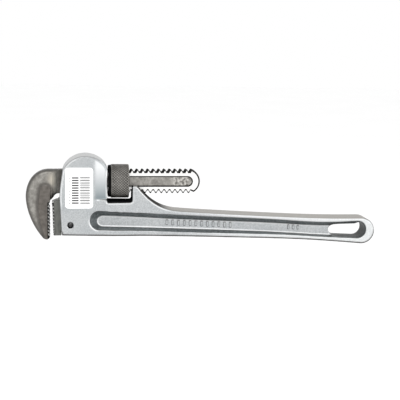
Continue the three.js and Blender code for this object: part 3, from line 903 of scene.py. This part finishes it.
def make_coil():
    low, high = (corner[2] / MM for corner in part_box("coil_spring"))
    count = round(COIL_TURNS * COIL_STEPS)
    rise = high - low - 2 * COIL_WIRE - 2 * COIL_GAP
    points = []
    sides = WIRE_SIDES
    for i in range(count + 1):
        turn = 2 * math.pi * i / COIL_STEPS
        outward = np.array((math.cos(turn), math.sin(turn), 0))
        middle = np.array((COIL_X, 0, low + COIL_WIRE + COIL_GAP + rise * i / count)) + COIL_RADIUS * outward
        for j in range(sides):
            around = 2 * math.pi * j / sides
            across = outward * math.cos(around) + np.array((0, 0, math.sin(around)))
            points.append(middle + COIL_WIRE * across)
    faces = [tuple(range(sides))[::-1], tuple(count * sides + j for j in range(sides))]
    for i in range(count):
        for j in range(sides):
            k = (j + 1) % sides
            here = i * sides
            faces.append((here + j, here + k, here + sides + k, here + sides + j))
    obj = mesh_object("wound_spring", points, faces)
    tidy_normals(obj)
    smooth(obj, 50)
    obj.data.materials.append(spring_steel())
    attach(obj, "handle")
    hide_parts("coil_spring")
    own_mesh(obj)


# ---- the label ----
INK_PROUD = 0.02
INK_THICKNESS = 0.06
PRINT_COLUMNS = (  # bars, first height, spacing, left end, right end, even bars' width, odd bars' width
    (11, 5.5, 2.5, 6.6, 13.2, 1.4, 1.4),
    (17, 4.8, 1.65, 14.6, 24.2, 0.9, 0.62),
    (9, 5, 3.1, 3.4, 4.6, 0.7, 0.7),
)


def make_label():
    low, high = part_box("price_label")
    left, front, bottom = (v / MM for v in low)
    right, back, top = (v / MM for v in high)
    plate = Plate()
    add_slab(plate, rounded_rectangle(left, right, bottom, top, 3.2, 10), front, back, 0.06, 0)
    obj = plate.finish("paper_label")
    smooth(obj, 30)
    obj.data.materials.append(paper())
    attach(obj, "handle")
    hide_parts("price_label")
    make_print(left, bottom, front)


def make_print(left, bottom, front):
    """Plain printed bars, with nothing to read in them."""
    plate = Plate()
    for count, first, spacing, start, end, even, odd in PRINT_COLUMNS:
        for i in range(count):
            z = bottom + first + i * spacing
            add_ink(plate, left + start, left + end, z, odd if i % 2 else even, front - INK_PROUD)
    obj = plate.finish("label_print")
    obj.data.materials.append(ink())
    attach(obj, "handle")


def add_ink(plate, left, right, middle, width, skin):
    loop = rounded_rectangle(left, right, middle - width / 2, middle + width / 2, 0.25, 2)
    add_slab(plate, loop, skin, skin + INK_THICKNESS, 0.01, 0)


# ---- materials ----
NOISE_LOW = 0.3  # most of a noise texture's values lie between these
NOISE_HIGH = 0.7
TOOTH_HIGHLIGHT = (0.92, 0.92, 0.90)  # painted highlight: bright metal where it catches the light


class Paint:
    """Builds one node material on the Principled shader."""

    def __init__(self, name, metallic, roughness):
        self.material = bpy.data.materials.new(name)
        self.material.use_nodes = True
        self.tree = self.material.node_tree
        self.shader = self.tree.nodes["Principled BSDF"]
        self.shader.inputs["Metallic"].default_value = metallic
        self.shader.inputs["Roughness"].default_value = roughness
        self.place = self.tree.nodes.new("ShaderNodeTexCoord").outputs["Object"]

    def link(self, output, node_input):
        self.tree.links.new(output, node_input)

    def noise(self, scale, detail=3.0, roughness=0.5, stretch=(1, 1, 1)):
        """Noise with its scale in features per metre."""
        mapping = self.tree.nodes.new("ShaderNodeMapping")
        mapping.inputs["Scale"].default_value = stretch
        self.link(self.place, mapping.inputs["Vector"])
        node = self.tree.nodes.new("ShaderNodeTexNoise")
        node.inputs["Scale"].default_value = scale
        node.inputs["Detail"].default_value = detail
        node.inputs["Roughness"].default_value = roughness
        self.link(mapping.outputs["Vector"], node.inputs["Vector"])
        return node.outputs["Fac"]

    def ramp(self, value, stops):
        node = self.tree.nodes.new("ShaderNodeValToRGB")
        ramp = node.color_ramp
        while len(ramp.elements) < len(stops):
            ramp.elements.new(0.5)
        for element, (place, colour) in zip(ramp.elements, stops):
            element.position = place
            element.color = (*colour, 1)
        self.link(value, node.inputs["Fac"])
        return node.outputs["Color"]

    def mix(self, share, first, second, kind="MIX"):
        node = self.tree.nodes.new("ShaderNodeMix")
        node.data_type = "RGBA"
        node.blend_type = kind
        if isinstance(share, float):
            node.inputs["Factor"].default_value = share
        else:
            self.link(share, node.inputs["Factor"])
        for value, socket in ((first, node.inputs["A"]), (second, node.inputs["B"])):
            if isinstance(value, tuple):
                socket.default_value = (*value, 1)
            else:
                self.link(value, socket)
        return node.outputs["Result"]

    def attribute(self, name):
        node = self.tree.nodes.new("ShaderNodeAttribute")
        node.attribute_name = name
        return node.outputs["Fac"]

    def between(self, value, low, high, new_low=0.0, new_high=1.0):
        node = self.tree.nodes.new("ShaderNodeMapRange")
        node.inputs["From Min"].default_value = low
        node.inputs["From Max"].default_value = high
        node.inputs["To Min"].default_value = new_low
        node.inputs["To Max"].default_value = new_high
        self.link(value, node.inputs["Value"])
        return node.outputs["Result"]

    def normal(self, axis):
        geometry = self.tree.nodes.new("ShaderNodeNewGeometry")
        split = self.tree.nodes.new("ShaderNodeSeparateXYZ")
        self.link(geometry.outputs["Normal"], split.inputs["Vector"])
        return split.outputs[axis]

    def position(self, axis):
        split = self.tree.nodes.new("ShaderNodeSeparateXYZ")
        self.link(self.place, split.inputs["Vector"])
        return split.outputs[axis]

    def bump(self, height, distance, strength=1.0):
        node = self.tree.nodes.new("ShaderNodeBump")
        node.inputs["Distance"].default_value = distance
        node.inputs["Strength"].default_value = strength
        self.link(height, node.inputs["Height"])
        self.link(node.outputs["Normal"], self.shader.inputs["Normal"])

    def colour(self, output):
        self.link(output, self.shader.inputs["Base Color"])
        return self.material

    def dull(self, share, metallic):
        """Takes the metal's sheen away where the share is 1, so that it stays dark edge-on."""
        self.link(self.between(share, 0, 1, metallic, 0.0), self.shader.inputs["Metallic"])
        self.link(self.between(share, 0, 1, 0.5, 0.0), self.shader.inputs["Specular IOR Level"])

    def most(self, first, second):
        node = self.tree.nodes.new("ShaderNodeMath")
        node.operation = "MAXIMUM"
        self.link(first, node.inputs[0])
        self.link(second, node.inputs[1])
        return node.outputs["Value"]

    def mottle(self, noise, dark, pale):
        return self.ramp(noise, [(NOISE_LOW, dark), (NOISE_HIGH, pale)])

    def rough(self, noise, low, high):
        self.link(self.between(noise, NOISE_LOW, NOISE_HIGH, low, high), self.shader.inputs["Roughness"])


def cast_aluminium():
    """Blasted aluminium with painted shade on its upward faces, darker and warmer low down, near black
    painted shade on its downward faces, a painted highlight on the facet, and the CASTING_TONES, which are
    painted shade and painted highlights.
    """
    found = bpy.data.materials.get("blasted_aluminium")
    if found:
        return found
    metallic = 0.92
    look = Paint("blasted_aluminium", metallic, 0.42)
    grain = look.noise(900, 3)
    cloud = look.noise(38, 3)
    base = look.mottle(grain, (0.385, 0.40, 0.405), (0.56, 0.575, 0.58))
    tint = look.ramp(cloud, [(0.35, (0.90, 0.91, 0.92)), (0.65, (1.0, 1.0, 1.0))])
    base = look.mix(1.0, base, tint, "MULTIPLY")
    # Painted shade on the upward faces: darker and warmer low down, lighter higher up.
    high = look.between(look.position("Z"), -0.005, 0.03)
    top = look.mix(high, (0.35, 0.335, 0.31), (0.52, 0.525, 0.525))
    base = look.mix(look.between(look.normal("Z"), 0.45, 0.9), base, top)
    # Painted highlight on the facet: bright at the top, fading darker downwards.
    fade = look.between(look.position("Z"), 0.004, 0.034)
    facet_highlight_colour = look.mix(fade, (0.24, 0.275, 0.29), (0.75, 0.76, 0.765))
    base = look.mix(look.attribute("facet_highlight"), base, facet_highlight_colour)
    # Painted shade: the downward faces near black.
    base = look.mix(look.between(look.normal("Z"), -0.1, -0.45), base, (0.03, 0.032, 0.034))
    wall_shade_colour = look.mottle(look.noise(500, 3), (0.13, 0.145, 0.15), (0.265, 0.285, 0.29))
    highlight_colour = (0.97, 0.98, 0.98)
    sweep_shade_colour = (0.06, 0.058, 0.055)
    hollow_shade_colour = (0.012, 0.013, 0.014)
    # Painted shade on the pocket walls, in the hollows and along dark lines; painted highlights along edges.
    for name, colour in (("wall", wall_shade_colour), ("light", highlight_colour), ("sweep_shade", sweep_shade_colour), ("hollow_shade", hollow_shade_colour)):
        base = look.mix(look.attribute(name), base, colour)
    # No sheen where the painted shade of the hollows and dark lines lies, so that it stays dark.
    look.dull(look.most(look.attribute("hollow_shade"), look.attribute("sweep_shade")), metallic)
    look.rough(look.noise(600, 3), 0.36, 0.5)
    look.bump(look.noise(1600, 4, 0.6), 0.00012, 0.7)
    return look.colour(base)


def forged_steel():
    """Forged steel with an oil film: mottled grey-brown, painted shade black towards the edges and on the
    neck, a browner pad with a dark ring round it, a painted highlight on the head near the neck, and painted
    shade and painted highlights on the teeth.
    """
    look = Paint("forged_skin", 0.85, 0.42)
    body = look.ramp(
        look.noise(220, 4, 0.6),
        [(0.3, (0.19, 0.18, 0.163)), (0.5, (0.275, 0.265, 0.245)), (0.72, (0.40, 0.385, 0.355))],
    )
    pad = look.mottle(look.noise(260, 4, 0.6), (0.10, 0.09, 0.08), (0.17, 0.155, 0.14))
    sheen_highlight_colour = (0.50, 0.465, 0.40)
    ring_dark = (0.09, 0.082, 0.075)
    # Painted shade for the edges and the neck.
    black = (0.05, 0.047, 0.043)
    shade = body
    for name, colour in (("sheen", sheen_highlight_colour), ("pad", pad), ("ring", ring_dark), ("edge", black)):
        shade = look.mix(look.attribute(name), shade, colour)
    # Painted shade on the teeth, kept without sheen, and painted highlights on their upward faces.
    for name, colour in (("teeth", (0.01, 0.01, 0.01)), ("gleam", TOOTH_HIGHLIGHT)):
        shade = look.mix(look.attribute(name), shade, colour)
    look.dull(look.attribute("teeth"), 0.85)
    look.rough(look.noise(300, 4), 0.34, 0.52)
    look.bump(look.noise(500, 5, 0.6), 0.0003, 0.6)
    return look.colour(shade)


def ground_steel():
    """The shank's ground flats: near white, with grinding lines along it."""
    look = Paint("ground_flat", 0.9, 0.3)
    lines = look.noise(1400, 3, 0.6, (0.08, 1, 1))
    base = look.mottle(lines, (0.80, 0.795, 0.78), (0.93, 0.93, 0.92))
    look.rough(look.noise(700, 3, 0.5, (0.1, 1, 1)), 0.25, 0.38)
    look.bump(lines, 0.00003, 0.5)
    return look.colour(base)


# Blued steel on the shank's sides, chamfers and teeth flanks, without sheen so that it stands in for their
# shade too: partly painted shade.
def black_edge():
    look = Paint("blued_and_shaded_edge", 0.1, 0.6)
    look.shader.inputs["Specular IOR Level"].default_value = 0.0
    base = look.mottle(look.noise(500, 3), (0.012, 0.012, 0.012), (0.035, 0.034, 0.032))
    look.bump(look.noise(700, 3), 0.00008, 0.5)
    return look.colour(base)


def recess_steel():
    """The floor of the shank's recess, left as forged."""
    look = Paint("recess_floor", 0.85, 0.45)
    base = look.ramp(
        look.noise(160, 5, 0.65),
        [(0.3, (0.15, 0.14, 0.13)), (0.5, (0.27, 0.26, 0.24)), (0.75, (0.44, 0.425, 0.40))],
    )
    spots = look.ramp(look.noise(430, 4, 0.6), [(0.42, (0.05, 0.046, 0.04)), (0.6, (0.75, 0.73, 0.69))])
    base = look.mix(look.between(look.position("X"), -0.036, -0.026, 0.0, 0.6), base, spots)
    look.rough(look.noise(260, 4), 0.36, 0.55)
    look.bump(look.noise(420, 5, 0.6), 0.0003, 0.7)
    return look.colour(base)


def blackened_steel():
    """The knurled nut: black in the grooves, lighter grey on top of each diamond, a painted highlight in its
    middle, and painted shade near black on the collar and underside.
    """
    look = Paint("blued_nut", 0.85, 0.4)
    low = look.mottle(look.noise(300, 3), (0.012, 0.012, 0.011), (0.04, 0.038, 0.035))
    high = look.mottle(look.noise(180, 4), (0.20, 0.19, 0.175), (0.40, 0.385, 0.36))
    base = look.mix(look.attribute("top"), low, high)
    # Painted highlight in the middle; painted shade near black on the collar and underside, kept without
    # sheen.
    base = look.mix(look.attribute("middle_highlight"), base, (0.23, 0.22, 0.205))
    base = look.mix(look.attribute("collar"), base, (0.006, 0.006, 0.006))
    look.dull(look.attribute("collar"), 0.85)
    look.rough(look.noise(300, 3), 0.34, 0.5)
    look.bump(look.noise(900, 3), 0.00006, 0.5)
    return look.colour(base)


def hardened_steel():
    """The heel jaw: even dark grey with faint milling lines, painted shade on the teeth and painted
    highlights on their upward faces.
    """
    look = Paint("hardened_grey", 0.8, 0.45)
    base = look.ramp(
        look.noise(300, 4, 0.6, (1, 1, 0.25)),
        [(0.3, (0.105, 0.108, 0.10)), (0.7, (0.175, 0.178, 0.165))],
    )
    # Painted shade on the teeth, kept without sheen, and painted highlights on their upward faces.
    base = look.mix(look.attribute("teeth"), base, (0.012, 0.012, 0.012))
    base = look.mix(look.attribute("gleam"), base, TOOTH_HIGHLIGHT)
    look.dull(look.attribute("teeth"), 0.8)
    look.rough(look.noise(300, 3), 0.38, 0.52)
    look.bump(look.noise(900, 3, 0.5, (1, 1, 0.2)), 0.00006, 0.6)
    return look.colour(base)


def spring_steel():
    """Pin and springs: dark drawn steel with a slight oil film."""
    found = bpy.data.materials.get("drawn_spring_steel")
    if found:
        return found
    look = Paint("drawn_spring_steel", 0.9, 0.35)
    base = look.mottle(look.noise(400, 3), (0.02, 0.02, 0.021), (0.075, 0.075, 0.078))
    look.rough(look.noise(500, 3), 0.28, 0.45)
    look.bump(look.noise(1200, 3), 0.00003, 0.5)
    return look.colour(base)


def paper():
    look = Paint("label_stock", 0.0, 0.55)
    base = look.mottle(look.noise(1500, 3), (0.90, 0.90, 0.90), (0.95, 0.95, 0.95))
    look.bump(look.noise(1800, 4), 0.00002, 0.5)
    return look.colour(base)


def ink():
    look = Paint("label_ink", 0.0, 0.6)
    base = look.ramp(look.noise(1500, 3), [(0.3, (0.015, 0.015, 0.015)), (0.75, (0.07, 0.07, 0.07))])
    return look.colour(base)


def pale_floor():
    look = Paint("pale_floor", 0.0, 0.9)
    base = look.mottle(look.noise(3, 2), (0.985, 0.985, 0.985), (0.998, 0.998, 0.998))
    return look.colour(base)


def finish_small_parts():
    """The pin and the flat spring keep their own shapes."""
    material = spring_steel()
    for name in ("heel_jaw_pin", "flat_spring"):
        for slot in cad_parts[name].material_slots:
            slot.link = "OBJECT"
            slot.material = material


# ---- studio ----
FLOOR_REACH = 9.0  # these four are in metres
FLOOR_DROP = 0.25
CAMERA_PLACE = (-0.13480, -1.00135, 0.15879)
CLIP = (0.01, 100)


def make_floor():
    height = CAD_BOX[0][2] - FLOOR_DROP
    mesh = bpy.data.meshes.new("floor")
    around = ((-1, -1), (1, -1), (1, 1), (-1, 1))
    corners = [(x * FLOOR_REACH, y * FLOOR_REACH, height) for x, y in around]
    mesh.from_pydata(corners, [], [(0, 1, 2, 3)])
    obj = new_object("floor", mesh)
    mesh.materials.append(pale_floor())


def area_light(name, place, width, height, power):
    """A rectangle that shines at the origin."""
    data = bpy.data.lights.new(name, "AREA")
    data.shape = "RECTANGLE"
    data.size = width
    data.size_y = height
    data.energy = power
    obj = new_object(name, data)
    obj.location = place
    obj.rotation_euler = (-Vector(place)).to_track_quat("-Z", "Y").to_euler()


def make_lights():
    world = bpy.data.worlds.new("studio")
    bpy.context.scene.world = world
    world.use_nodes = True
    background = world.node_tree.nodes["Background"]
    background.inputs["Color"].default_value = (1, 1, 1, 1)
    background.inputs["Strength"].default_value = 1.0
    area_light("key", (-0.5, -1.6, 1.5), 1.4, 1.0, 14)
    area_light("fill", (1.4, -1.4, 0.7), 1.0, 1.0, 8)


def make_camera():
    """A little left of square on, a little above, and turned by a degree."""
    azimuth = math.radians(-7.5)
    elevation = math.radians(9.0)
    roll = math.radians(1.0)
    back = Vector((
        math.sin(azimuth) * math.cos(elevation),
        -math.cos(azimuth) * math.cos(elevation),
        math.sin(elevation),
    ))
    right = Vector((math.cos(azimuth), math.sin(azimuth), 0))
    up = back.cross(right)
    side = right * math.cos(roll) + up * math.sin(roll)
    top = -right * math.sin(roll) + up * math.cos(roll)
    data = bpy.data.cameras.new("camera")
    data.lens = 90.4
    data.sensor_width = 36
    data.clip_start, data.clip_end = CLIP
    obj = new_object("camera", data)
    rotation = Matrix((side, top, back)).transposed().to_4x4()
    obj.matrix_world = Matrix.Translation(CAMERA_PLACE) @ rotation
    bpy.context.scene.camera = obj


def main():
    make_camera()
    make_lights()
    make_floor()
    make_casting()
    make_web_bars()
    make_hook()
    make_shank()
    make_nut()
    make_heel()
    make_coil()
    make_label()
    finish_small_parts()
    bpy.context.scene.view_settings.view_transform = "Standard"


main()
